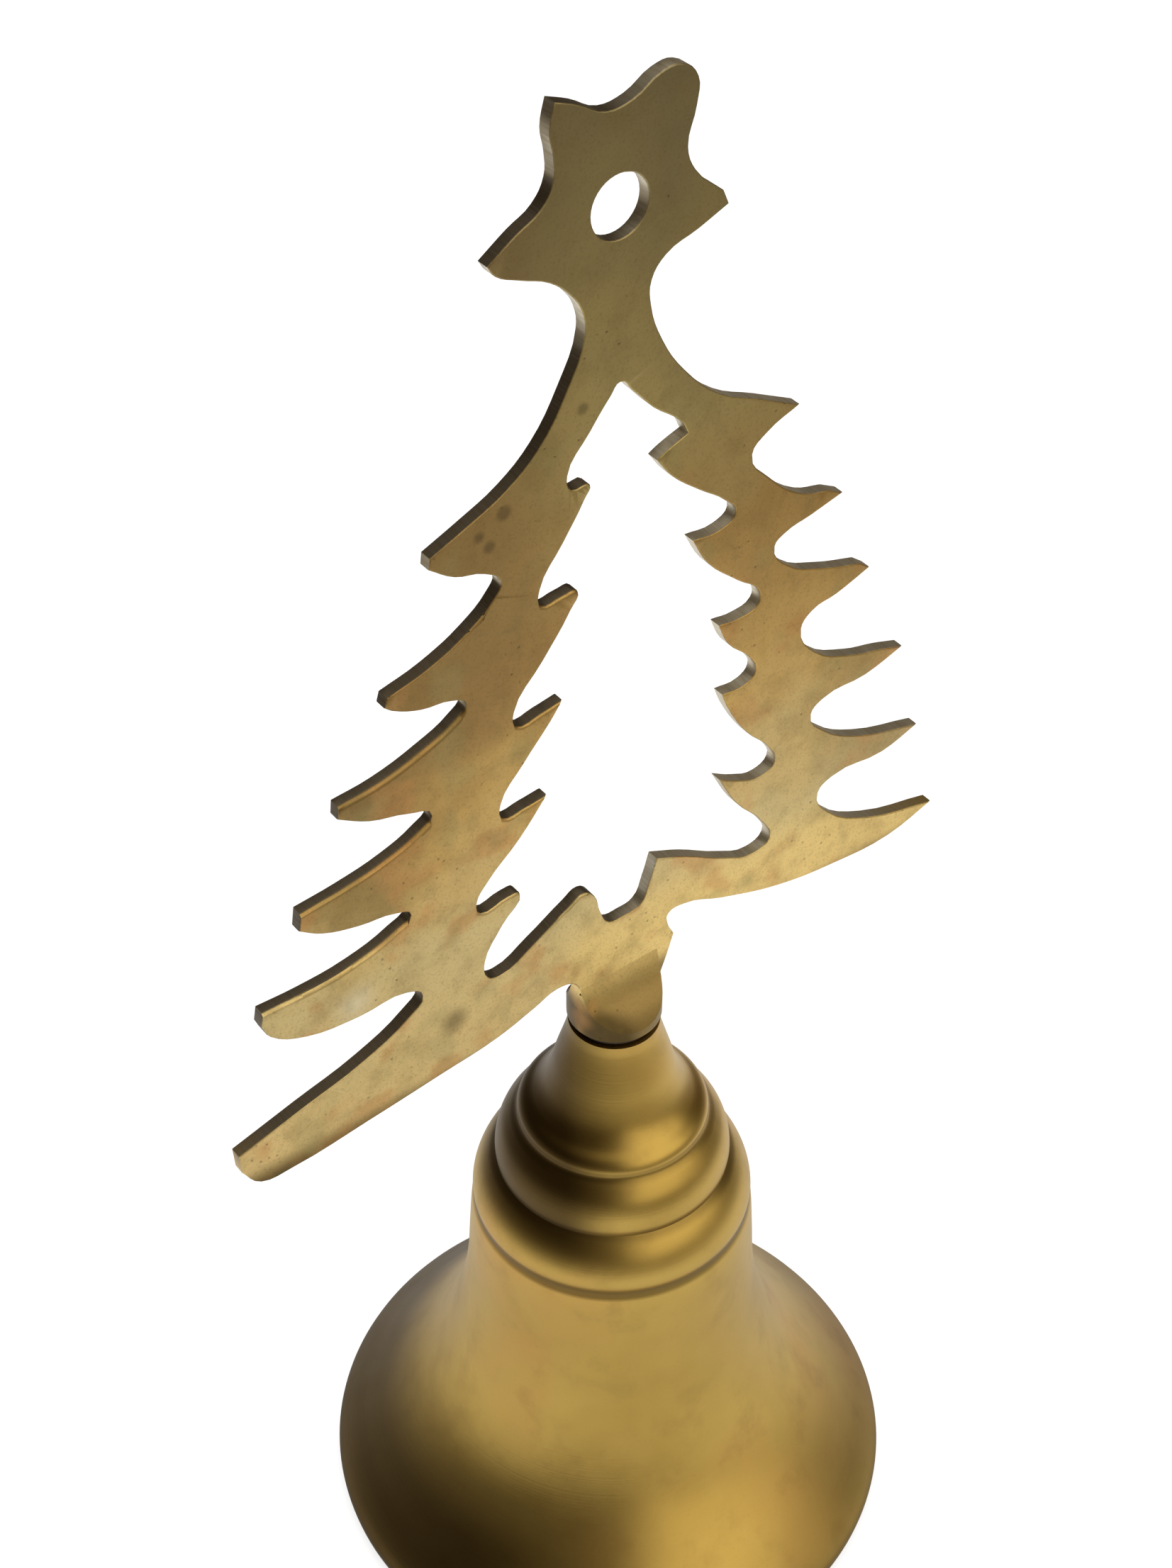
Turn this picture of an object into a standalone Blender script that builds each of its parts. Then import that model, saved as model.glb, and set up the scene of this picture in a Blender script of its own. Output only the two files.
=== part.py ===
"""Brass hand bell with a pierced Christmas-tree handle.

Metres, +Z up. The origin is the centre of the bell's mouth, on the plane that the
mouth's rim stands on. The tree is a flat plate in the XZ plane, its face towards -Y.
"""
from math import cos, pi, radians, sin

import bmesh
import bpy
from mathutils import Matrix, Vector

MM = 0.001

# ---- driving dimensions -------------------------------------------------------------
# The tree and the bell's profile are drawn on a pattern-maker's grid of 1.2 mm squares.
GRID = 1.2 * MM
BELL_HEIGHT = 52.0 * GRID          # mouth rim to the joint below the handle
PLATE_THICKNESS = 1.2 * MM
PLATE_OFFSET = (0.4 * GRID, -0.25 * GRID)   # the plate's place across and up, as filed
CURVE_STEPS = 4                    # segments between two outline points
GAP = 0.3 * MM                     # clearance between pieces that touch or turn

BOLT_RADIUS = 1.45 * MM
BOLT_HOLE_RADIUS = BOLT_RADIUS + GAP
SOCKET_DEPTH = 2.6 * MM            # how far the bolt reaches into the handle's foot
SEAT_RADIUS = 3.75 * MM
SEAT_THICKNESS = 0.4 * MM
CROWN_WASHER_RADIUS = 4.4 * MM
CROWN_WASHER_THICKNESS = 0.7 * MM
SPRING_WASHER_RADIUS = 3.1 * MM
SPRING_WASHER_THICKNESS = 0.9 * MM
SPRING_WASHER_SPLIT = radians(14)
NUT_ACROSS_FLATS = 5.5 * MM
NUT_HEIGHT = 2.4 * MM

EYE_RADIUS, EYE_WIRE = 2.6 * MM, 1.1 * MM
LINK_RADIUS, LINK_WIRE = 3.6 * MM, 0.8 * MM
LOOP_RADIUS, LOOP_WIRE = 2.2 * MM, 0.9 * MM
ROD_RADIUS = 1.0 * MM
BALL_RADIUS = 5.8 * MM
BALL_CENTRE_Z = 10.0 * MM
END_NUT_RADIUS = 2.1 * MM
END_NUT_HEIGHT = 1.5 * MM

# ---- the tree's outlines, in grid squares from the joint on the bell's axis ----------
SHARP = "sharp"

STAR = [
    (-3.65, 58.6), (-3.85, 60.2), (-4.65, 61.5), (-6.1, 62.8), (-8.2, 63.7), (-9.8, 64.5),
    (-10.35, 65.3, SHARP), (-8.4, 66.6), (-6.7, 67.6), (-5.85, 69.0), (-5.85, 70.5),
    (-6.1, 72.0), (-5.75, 73.7, SHARP), (-4.2, 73.1), (-2.2, 72.1), (-0.4, 72.3), (1.5, 73.3),
    (3.0, 73.4), (4.2, 72.3), (4.15, 70.6), (3.6, 68.2), (4.2, 66.6), (6.35, 64.6, SHARP),
    (6.8, 63.6, SHARP), (4.6, 62.7), (2.2, 61.8), (1.2, 60.5),
]
RIGHT_SIDE = [
    (1.2, 58.8), (2.1, 56.2), (3.9, 53.4), (6.8, 50.6), (10.2, 48.9),
    (13.4, 47.3, SHARP), (10.8, 46.2), (9.65, 45.0), (11.2, 42.6), (14.2, 40.1),
    (16.5, 39.4, SHARP), (17.8, 38.7, SHARP), (15.0, 38.0), (12.9, 37.5), (12.05, 36.8),
    (13.3, 34.7), (16.6, 33.0), (20.0, 31.9, SHARP), (20.9, 31.2, SHARP), (18.0, 30.2),
    (15.8, 29.7), (14.95, 28.6), (16.4, 25.9), (20.0, 23.9), (22.8, 23.1),
    (24.9, 22.4, SHARP), (21.5, 21.4), (17.5, 21.1), (16.5, 20.2), (17.9, 18.0), (21.5, 15.7),
    (27.3, 13.9, SHARP), (24.0, 12.9), (19.1, 13.0), (17.8, 12.1), (19.0, 9.6), (23.2, 6.8),
    (29.8, 4.9, SHARP), (25.5, 3.65), (20.0, 3.8), (14.5, 4.65), (9.0, 6.5), (5.4, 7.95),
    (4.05, 7.8), (4.0, 6.9), (4.6, 5.5, SHARP), (4.0, 3.6), (3.0, 0.9, SHARP),
]
LEFT_SIDE = [
    (-3.8, 0.9, SHARP), (-3.8, 3.8), (-4.3, 5.6), (-5.9, 6.1), (-7.8, 5.45), (-11.0, 4.45),
    (-16.0, 3.8), (-22.0, 3.1), (-28.0, 2.55), (-30.5, 2.8), (-31.8, 4.6, SHARP),
    (-31.9, 6.3, SHARP), (-27.0, 7.7), (-22.0, 9.1), (-18.2, 11.0), (-17.0, 12.3),
    (-18.3, 13.4), (-22.0, 13.45), (-26.0, 14.1), (-28.6, 15.7), (-29.2, 17.0, SHARP),
    (-29.0, 18.1, SHARP), (-26.0, 18.0), (-22.2, 18.3), (-18.9, 19.3), (-17.6, 20.2),
    (-18.8, 21.0), (-21.5, 21.5), (-24.2, 22.4), (-25.8, 23.5, SHARP), (-25.6, 24.9, SHARP),
    (-22.5, 25.2), (-19.0, 25.9), (-16.6, 26.9), (-15.6, 27.8), (-17.4, 28.9), (-20.2, 29.8),
    (-22.4, 31.1, SHARP), (-22.3, 32.1, SHARP), (-19.4, 32.4), (-16.0, 33.4), (-13.5, 34.6),
    (-12.7, 35.5), (-13.8, 36.3), (-16.0, 36.7), (-18.0, 37.6), (-18.6, 38.1, SHARP),
    (-18.4, 38.8, SHARP), (-15.4, 39.6), (-12.3, 41.1), (-10.4, 42.7), (-9.9, 43.7),
    (-11.1, 44.8), (-13.2, 45.5), (-15.0, 46.8, SHARP), (-14.9, 47.6, SHARP), (-12.3, 48.7),
    (-9.4, 50.1), (-7.0, 52.1), (-5.0, 55.2),
]
CUT_OUT = [
    (-1.0, 54.4), (-0.1, 53.5), (1.6, 51.6), (3.8, 49.7), (4.3, 48.7, SHARP), (2.7, 48.1),
    (1.9, 47.7, SHARP), (3.15, 46.0), (5.45, 44.0), (7.6, 42.3), (8.5, 41.0), (7.4, 40.2),
    (5.0, 40.3, SHARP), (6.35, 37.9), (9.05, 35.3), (10.9, 33.6), (10.9, 32.6), (9.4, 32.1),
    (7.5, 32.3, SHARP), (8.4, 30.35), (10.5, 28.1), (11.0, 26.8), (10.2, 26.05),
    (8.1, 26.1, SHARP), (8.65, 24.7), (10.55, 21.5), (12.8, 18.9), (13.3, 17.4), (12.1, 16.7),
    (10.1, 17.3), (8.2, 18.4, SHARP), (9.9, 15.3), (12.7, 11.8), (13.3, 10.1), (11.9, 9.4),
    (9.2, 10.4), (5.5, 12.6), (2.8, 13.9, SHARP), (2.2, 11.9), (1.4, 10.2), (0.1, 9.95),
    (-1.3, 10.1), (-2.1, 11.5), (-2.6, 13.3), (-3.5, 14.1), (-4.8, 13.5), (-7.8, 11.75),
    (-10.7, 10.45), (-11.7, 10.9), (-11.9, 12.5), (-10.4, 15.1), (-8.9, 17.2), (-9.9, 17.4),
    (-12.1, 17.2), (-12.4, 18.3), (-11.5, 19.7), (-8.9, 22.1), (-6.6, 24.8, SHARP),
    (-8.3, 24.6), (-10.1, 24.6), (-10.3, 25.9), (-8.4, 28.5), (-6.3, 30.9),
    (-5.3, 32.2, SHARP), (-7.0, 31.9), (-8.9, 31.8), (-9.1, 33.1), (-6.8, 36.2), (-4.7, 39.1),
    (-4.1, 40.4), (-5.3, 40.5), (-6.9, 40.5), (-7.0, 41.8), (-5.2, 44.6), (-3.6, 47.1),
    (-3.2, 48.0), (-4.6, 48.2), (-4.9, 49.3), (-3.2, 51.8), (-1.7, 53.7),
]
STAR_HOLE_CENTRE = (-1.2, 66.0)
STAR_HOLE_RADIUS = 2.05
STAR_HOLE_SIDES = 36

# ---- the foot and the bell, in grid squares: half-width or radius, height from the joint
FOOT_RADIUS = 3.5
FOOT_SWEEP = [
    (3.7, 0.2), (3.7, 0.75, SHARP), (3.0, 1.15), (2.2, 1.75), (1.4, 2.6), (0.8, 3.7),
    (0.4, 5.0, SHARP),
]
BELL_OUTSIDE = [
    (3.4, -0.6), (3.55, -1.6), (3.95, -3.0), (4.35, -4.4), (4.8, -6.0), (5.35, -7.4),
    (6.1, -8.5), (6.85, -9.2), (7.2, -9.8), (7.25, -10.4), (7.8, -11.1), (8.45, -12.1),
    (8.85, -13.2), (9.0, -14.3), (8.95, -15.0), (9.5, -15.6), (10.15, -16.6),
    (10.6, -17.7), (10.8, -18.8), (10.7, -19.7), (10.9, -20.4), (11.15, -24.0),
    (11.4, -28.0), (12.0, -32.0), (13.1, -36.0), (14.9, -40.0), (17.5, -43.8), (20.3, -47.2),
    (22.25, -49.4), (22.95, -50.5), (22.95, -51.4), (22.65, -52.0),
]
BELL_INSIDE = [
    (21.5, -52.0), (21.2, -50.9), (20.5, -49.3), (18.8, -47.1), (16.0, -43.8), (13.4, -40.2),
    (11.6, -36.4), (10.6, -32.2), (9.9, -28.0), (9.6, -24.0), (9.2, -20.5), (8.0, -17.0),
    (7.0, -14.4), (6.2, -12.6), (4.6, -11.2),
]
BELL_STEPS = 48
SMALL_STEPS = 28

BRASS = ("brass", (0.52, 0.40, 0.17), 0.35)
BRIGHT_BRASS = ("bright_brass", (0.66, 0.50, 0.22), 0.25)
STEEL = ("steel", (0.45, 0.45, 0.46), 0.35)
LEATHER = ("leather", (0.06, 0.045, 0.03), 0.8)


def remove_old_objects():
    for old in list(bpy.data.objects):
        bpy.data.objects.remove(old, do_unlink=True)


def new_collection(name):
    collection = bpy.data.collections.new(name)
    bpy.context.scene.collection.children.link(collection)
    return collection


def make_material(name, colour, roughness):
    material = bpy.data.materials.new(name)
    material.use_nodes = True
    shader = material.node_tree.nodes["Principled BSDF"]
    shader.inputs["Base Color"].default_value = (*colour, 1.0)
    shader.inputs["Roughness"].default_value = roughness
    shader.inputs["Metallic"].default_value = 0.0 if name == LEATHER[0] else 1.0
    return material


def add_object(name, data, collection, material=None):
    obj = bpy.data.objects.new(name, data)
    collection.objects.link(obj)
    if material is not None:
        data.materials.append(material)
    return obj


def mesh_from_bmesh(name, bm):
    mesh = bpy.data.meshes.new(name)
    bm.to_mesh(mesh)
    bm.free()
    return mesh


def shade_round(obj, angle=40):
    obj.data.shade_smooth()
    obj.data.set_sharp_from_angle(angle=radians(angle))


def add_outline(curve, points, scale):
    """One closed Bezier outline; SHARP points get straight handles."""
    spline = curve.splines.new("BEZIER")
    spline.bezier_points.add(len(points) - 1)
    spline.use_cyclic_u = True
    for bezier, point in zip(spline.bezier_points, points):
        bezier.co = (point[0] * scale, point[1] * scale, 0.0)
        kind = "VECTOR" if SHARP in point else "AUTO"
        bezier.handle_left_type = kind
        bezier.handle_right_type = kind


def add_polygon(curve, centre, radius, sides, scale=1.0, start=0.0):
    spline = curve.splines.new("POLY")
    spline.points.add(sides - 1)
    spline.use_cyclic_u = True
    for index, point in enumerate(spline.points):
        angle = start + 2 * pi * index / sides
        x = (centre[0] + radius * cos(angle)) * scale
        y = (centre[1] + radius * sin(angle)) * scale
        point.co = (x, y, 0.0, 1.0)


def flat_curve(name, thickness):
    curve = bpy.data.curves.new(name, "CURVE")
    curve.dimensions = "2D"
    curve.fill_mode = "BOTH"
    curve.extrude = thickness / 2
    curve.resolution_u = CURVE_STEPS
    return curve


def curve_to_mesh(curve_object, collection, material):
    """A mesh object in the curve's place, with its caps welded to its sides."""
    depsgraph = bpy.context.evaluated_depsgraph_get()
    mesh = bpy.data.meshes.new_from_object(curve_object.evaluated_get(depsgraph))
    bm = bmesh.new()
    bm.from_mesh(mesh)
    bmesh.ops.remove_doubles(bm, verts=bm.verts, dist=0.00001)
    bm.to_mesh(mesh)
    bm.free()
    name = curve_object.name
    place = curve_object.matrix_world.copy()
    bpy.data.objects.remove(curve_object, do_unlink=True)
    mesh.materials.clear()
    solid = add_object(name, mesh, collection, material)
    solid.matrix_world = place
    return solid


def turned(name, profile, steps, collection, material=None):
    """A turned solid: the profile runs down its outer side and closes on itself or the axis."""
    bm = bmesh.new()
    verts = [bm.verts.new((radius, 0.0, height)) for radius, height in profile]
    for first, second in zip(verts, verts[1:]):
        bm.edges.new((first, second))
    on_axis = profile[0][0] == 0.0 and profile[-1][0] == 0.0
    if not on_axis:
        bm.edges.new((verts[-1], verts[0]))
    obj = add_object(name, mesh_from_bmesh(name, bm), collection, material)
    screw = obj.modifiers.new("turn", "SCREW")
    screw.steps = steps
    screw.render_steps = steps
    screw.use_merge_vertices = True
    screw.merge_threshold = 0.00001
    screw.use_smooth_shade = False
    return obj


def ring_profile(ring_radius, wire_radius, sides):
    """The round section of a wire ring, walked down its outer side first."""
    angles = [pi / 2 - 2 * pi * index / sides for index in range(sides)]
    return [(ring_radius + wire_radius * cos(a), wire_radius * sin(a)) for a in angles]


def washer(name, outer, inner, thickness, centre_z, collection, material, sides=SMALL_STEPS):
    curve = flat_curve(name, thickness)
    add_polygon(curve, (0, 0), outer, sides)
    add_polygon(curve, (0, 0), inner, SMALL_STEPS)
    obj = add_object(name, curve, collection)
    obj.location = (0, 0, centre_z)
    bpy.context.view_layer.update()
    return curve_to_mesh(obj, collection, material)


def boolean(obj, other, operation):
    modifier = obj.modifiers.new(operation.lower(), "BOOLEAN")
    modifier.operation = operation
    modifier.solver = "EXACT"
    modifier.object = other


def as_tool(obj):
    obj.hide_render = True
    obj.display_type = "WIRE"


def build_foot(tools):
    """A round post whose front and back sweep in, as they rise, to the plate's thickness."""
    low, high = FOOT_SWEEP[0][1] * GRID, FOOT_SWEEP[-1][1] * GRID
    foot = upright_rod("foot_tool", FOOT_RADIUS * GRID, low, high, tools, BELL_STEPS)
    foot.location.z += BELL_HEIGHT
    as_tool(foot)

    curve = flat_curve("sweep_tool", 3 * FOOT_RADIUS * GRID)
    left_side = [(-point[0], *point[1:]) for point in reversed(FOOT_SWEEP)]
    add_outline(curve, FOOT_SWEEP + left_side, GRID)
    sweep = add_object("sweep_tool", curve, tools)
    sweep.matrix_world = Matrix.Translation((0, 0, BELL_HEIGHT)) @ Matrix.Rotation(pi / 2, 4, "Z") \
        @ Matrix.Rotation(pi / 2, 4, "X")
    bpy.context.view_layer.update()
    sweep = curve_to_mesh(sweep, tools, None)
    as_tool(sweep)
    boolean(foot, sweep, "INTERSECT")
    return foot


def build_tree_handle(parts, tools, material):
    """Plate with the star, the pierced tree and the trunk, swept out to a round foot."""
    curve = flat_curve("tree_handle", PLATE_THICKNESS)
    add_outline(curve, STAR + RIGHT_SIDE + LEFT_SIDE, GRID)
    add_outline(curve, CUT_OUT, GRID)
    add_polygon(curve, STAR_HOLE_CENTRE, STAR_HOLE_RADIUS, STAR_HOLE_SIDES, GRID)
    flat = add_object("tree_handle", curve, parts)
    flat.rotation_euler = (pi / 2, 0, 0)
    flat.location = (PLATE_OFFSET[0], 0, BELL_HEIGHT + PLATE_OFFSET[1])
    bpy.context.view_layer.update()
    handle = curve_to_mesh(flat, parts, material)

    foot = build_foot(tools)
    boolean(handle, foot, "UNION")

    bm = bmesh.new()
    bmesh.ops.create_cone(
        bm, cap_ends=True, segments=SMALL_STEPS, radius1=BOLT_HOLE_RADIUS,
        radius2=BOLT_HOLE_RADIUS, depth=2 * SOCKET_DEPTH,
    )
    socket = add_object("socket_tool", mesh_from_bmesh("socket_tool", bm), tools)
    socket.location = (0, 0, BELL_HEIGHT + 0.2 * GRID)
    as_tool(socket)
    boolean(handle, socket, "DIFFERENCE")
    return handle


def build_bell_body(parts, material):
    """The bell itself: solid drilled neck, stepped bead rings, flared mouth."""
    outside = [(r * GRID, z * GRID + BELL_HEIGHT) for r, z in BELL_OUTSIDE]
    inside = [(r * GRID, z * GRID + BELL_HEIGHT) for r, z in BELL_INSIDE]
    top = outside[0][1]
    crown = inside[-1][1]
    bore = [(BOLT_HOLE_RADIUS, crown), (BOLT_HOLE_RADIUS, top)]
    return turned("bell_body", outside + inside + bore, BELL_STEPS, parts, material)


def wire_ring(name, ring_radius, wire_radius, centre_z, turn, collection, material=None):
    """A closed wire ring standing upright; turn 0 puts it in the XZ plane."""
    profile = ring_profile(ring_radius, wire_radius, 10)
    ring = turned(name, profile, SMALL_STEPS, collection, material)
    ring.matrix_world = Matrix.Translation((0, 0, centre_z)) @ Matrix.Rotation(turn, 4, "Z") \
        @ Matrix.Rotation(pi / 2, 4, "X")
    return ring


def upright_rod(name, radius, low_z, high_z, collection, sides=16):
    bm = bmesh.new()
    bmesh.ops.create_cone(
        bm, cap_ends=True, segments=sides, radius1=radius, radius2=radius, depth=high_z - low_z,
    )
    rod = add_object(name, mesh_from_bmesh(name, bm), collection)
    rod.location = (0, 0, (low_z + high_z) / 2)
    return rod


def build_fastening(parts, tools, brass, steel, leather):
    """Seat washer outside; washer, split spring washer, nut and eyebolt inside."""
    seat_z = BELL_HEIGHT - 0.25 * GRID
    washer("seat_washer", SEAT_RADIUS, BOLT_HOLE_RADIUS, SEAT_THICKNESS, seat_z, parts, leather)

    crown_z = BELL_HEIGHT + BELL_INSIDE[-1][1] * GRID
    crown_washer_z = crown_z - GAP - CROWN_WASHER_THICKNESS / 2
    washer("crown_washer", CROWN_WASHER_RADIUS, BOLT_HOLE_RADIUS, CROWN_WASHER_THICKNESS,
           crown_washer_z, parts, brass)

    spring_z = crown_washer_z - CROWN_WASHER_THICKNESS / 2 - GAP - SPRING_WASHER_THICKNESS / 2
    curve = flat_curve("spring_washer", SPRING_WASHER_THICKNESS)
    spline = curve.splines.new("POLY")
    sweep = 2 * pi - SPRING_WASHER_SPLIT
    arc = [SPRING_WASHER_SPLIT / 2 + sweep * i / (SMALL_STEPS - 1) for i in range(SMALL_STEPS)]
    ring = [(SPRING_WASHER_RADIUS, a) for a in arc] + [(BOLT_HOLE_RADIUS, a) for a in reversed(arc)]
    spline.points.add(len(ring) - 1)
    spline.use_cyclic_u = True
    for point, (radius, angle) in zip(spline.points, ring):
        point.co = (radius * cos(angle), radius * sin(angle), 0.0, 1.0)
    split_ring = add_object("spring_washer", curve, parts)
    split_ring.location = (0, 0, spring_z)
    bpy.context.view_layer.update()
    curve_to_mesh(split_ring, parts, steel)

    nut_z = spring_z - SPRING_WASHER_THICKNESS / 2 - GAP - NUT_HEIGHT / 2
    nut_radius = NUT_ACROSS_FLATS / 2 / cos(pi / 6)
    washer("hex_nut", nut_radius, BOLT_HOLE_RADIUS, NUT_HEIGHT, nut_z, parts, brass, sides=6)

    eye_z = nut_z - NUT_HEIGHT / 2 - GAP - EYE_RADIUS - EYE_WIRE
    eyebolt = wire_ring("eyebolt", EYE_RADIUS, EYE_WIRE, eye_z, 0.0, parts, steel)
    bolt_top = BELL_HEIGHT + 0.2 * GRID + SOCKET_DEPTH - GAP
    shank = upright_rod("shank_tool", BOLT_RADIUS, eye_z + EYE_RADIUS, bolt_top, tools)
    as_tool(shank)
    boolean(eyebolt, shank, "UNION")
    return eye_z - EYE_RADIUS


def build_clapper(parts, tools, eye_wire_z, brass, steel):
    """Link through the eye, then the looped rod with its ball and end nut."""
    link_top = eye_wire_z + EYE_WIRE + LINK_WIRE + GAP
    link_z = link_top - LINK_RADIUS
    wire_ring("clapper_link", LINK_RADIUS, LINK_WIRE, link_z, pi / 2, parts, steel)

    link_wire_z = link_z - LINK_RADIUS
    loop_top = link_wire_z + LINK_WIRE + LOOP_WIRE + GAP
    loop_z = loop_top - LOOP_RADIUS
    clapper_rod = wire_ring("clapper_rod", LOOP_RADIUS, LOOP_WIRE, loop_z, 0.0, parts, steel)
    rod_bottom = BALL_CENTRE_Z - BALL_RADIUS - GAP - END_NUT_HEIGHT
    stem = upright_rod("stem_tool", ROD_RADIUS, rod_bottom, loop_z - LOOP_RADIUS, tools, sides=14)
    as_tool(stem)
    boolean(clapper_rod, stem, "UNION")

    bore = ROD_RADIUS + GAP
    edge = (BALL_RADIUS ** 2 - bore ** 2) ** 0.5
    ball_steps = 14
    arc = [Vector((0, BALL_RADIUS)) @ Matrix.Rotation(-pi * i / ball_steps, 2)
           for i in range(1, ball_steps)]
    ball = [(abs(p.x), p.y + BALL_CENTRE_Z) for p in arc if abs(p.x) > bore * 1.1]
    ball = [(bore, BALL_CENTRE_Z + edge)] + ball + [(bore, BALL_CENTRE_Z - edge)]
    turned("clapper_ball", ball, SMALL_STEPS, parts, brass)

    nut_top = BALL_CENTRE_Z - BALL_RADIUS - GAP
    washer("clapper_end_nut", END_NUT_RADIUS, bore, END_NUT_HEIGHT, nut_top - END_NUT_HEIGHT / 2,
           parts, brass, sides=6)


def main():
    remove_old_objects()
    parts = new_collection("christmas_tree_bell")
    tools = new_collection("tools")
    brass = make_material(*BRASS)
    bright = make_material(*BRIGHT_BRASS)
    steel = make_material(*STEEL)
    leather = make_material(*LEATHER)

    build_tree_handle(parts, tools, brass)
    bell = build_bell_body(parts, brass)
    eye_wire_z = build_fastening(parts, tools, bright, steel, leather)
    build_clapper(parts, tools, eye_wire_z, bright, steel)
    shade_round(bell)


main()
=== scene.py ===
"""Looks of the brass Christmas-tree hand bell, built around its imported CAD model.

Metres, +Z up, in the CAD model's own frame: the origin is the middle of the bell's mouth and
the tree's face looks towards -Y. Finishes are laid out in millimetres from that origin.
"""
import math
from functools import reduce

import bmesh
import bpy
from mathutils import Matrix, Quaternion, Vector
from mathutils.geometry import delaunay_2d_cdt


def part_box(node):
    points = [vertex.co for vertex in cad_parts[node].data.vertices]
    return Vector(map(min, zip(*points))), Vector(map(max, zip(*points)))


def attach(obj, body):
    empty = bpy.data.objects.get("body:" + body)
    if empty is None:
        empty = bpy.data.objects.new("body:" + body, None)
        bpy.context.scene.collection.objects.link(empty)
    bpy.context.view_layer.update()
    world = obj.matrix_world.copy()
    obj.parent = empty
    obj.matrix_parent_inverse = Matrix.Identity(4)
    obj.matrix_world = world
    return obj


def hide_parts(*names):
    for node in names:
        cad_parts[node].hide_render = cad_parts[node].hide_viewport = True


MM = 0.001
GRID = 1.2 * MM                    # the pattern-maker's grid that the tree is drawn on
WELD = 0.004 * MM                  # vertices closer than this are one
BELL_STEPS = 176                   # facets round the bell
SMALL_STEPS = 72                   # facets round the fittings
SIDE = (0.80, -0.60)               # level, to the right of the main view
AWAY = (0.60, 0.80)                # level, away from the main view

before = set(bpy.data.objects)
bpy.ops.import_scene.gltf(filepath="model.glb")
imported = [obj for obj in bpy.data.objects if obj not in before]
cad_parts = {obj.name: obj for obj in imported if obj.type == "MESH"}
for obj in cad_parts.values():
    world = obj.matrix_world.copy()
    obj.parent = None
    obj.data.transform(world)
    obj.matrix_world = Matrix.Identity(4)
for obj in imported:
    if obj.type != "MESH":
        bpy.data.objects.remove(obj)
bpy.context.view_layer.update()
bpy.ops.object.select_all(action="DESELECT")

JOINT_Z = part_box("bell_body")[1].z + 0.6 * GRID     # where the handle meets the bell
HALF_PLATE = 0.6 * MM


# ---- finishes: shader arithmetic --------------------------------------------------------
class Wire:
    """One output socket of a finish. Arithmetic on it adds Math nodes."""

    def __init__(self, finish, socket):
        self.finish = finish
        self.socket = socket

    def maths(self, operation, *terms):
        return self.finish.node(
            "ShaderNodeMath", {"operation": operation}, dict(enumerate(terms)))

    def __add__(self, other):
        return self.maths("ADD", self, other)

    __radd__ = __add__

    def __sub__(self, other):
        return self.maths("SUBTRACT", self, other)

    def __rsub__(self, other):
        return self.maths("SUBTRACT", other, self)

    def __mul__(self, other):
        return self.maths("MULTIPLY", self, other)

    def __truediv__(self, other):
        return self.maths("DIVIDE", self, other)

    def __abs__(self):
        return self.maths("ABSOLUTE", self)

    def larger(self, other):
        return self.maths("MAXIMUM", self, other)

    def step(self, low, high):
        """0 below low, 1 above high, smooth between; low above high turns it round."""
        return self.finish.node(
            "ShaderNodeMapRange", {"interpolation_type": "SMOOTHSTEP"},
            {"Value": self, "From Min": low, "From Max": high})

    def band(self, start, full, fade, end):
        """0 outside start and end, 1 from full to fade, smooth between."""
        return self.step(start, full) * self.step(end, fade)


class Nodes:
    """A node tree to which nodes are added one call at a time."""

    def __init__(self, tree):
        self.tree = tree

    def node(self, kind, settings=None, inputs=None, output=0):
        made = self.tree.nodes.new(kind)
        for key, value in (settings or {}).items():
            if key == "stops":
                self.set_stops(made.color_ramp, value)
            else:
                setattr(made, key, value)
        for key, value in (inputs or {}).items():
            if isinstance(value, Wire):
                self.tree.links.new(value.socket, made.inputs[key])
            else:
                made.inputs[key].default_value = value
        return Wire(self, made.outputs[output])

    @staticmethod
    def set_stops(ramp, stops):
        while len(ramp.elements) < len(stops):
            ramp.elements.new(0.5)
        for element, (position, colour) in zip(ramp.elements, stops):
            element.position = position
            element.color = (*colour, 1.0)

    def axis(self, vector, name):
        return self.node("ShaderNodeSeparateXYZ", {}, {0: vector}, name)

    def along(self, vector, direction):
        """How far a level vector reaches along a level direction."""
        return (self.axis(vector, "X") * direction[0]
                + self.axis(vector, "Y") * direction[1])

    def mix(self, share, first, second):
        first, second = [
            (*c, 1.0) if isinstance(c, tuple) and len(c) == 3 else c for c in (first, second)]
        return self.node(
            "ShaderNodeMix", {"data_type": "RGBA"}, {0: share, 6: first, 7: second}, 2)

    def layered(self, colour, *layers):
        """Lays each (share, colour) over what is below it."""
        for share, above in layers:
            colour = self.mix(share, colour, above)
        return colour


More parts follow.
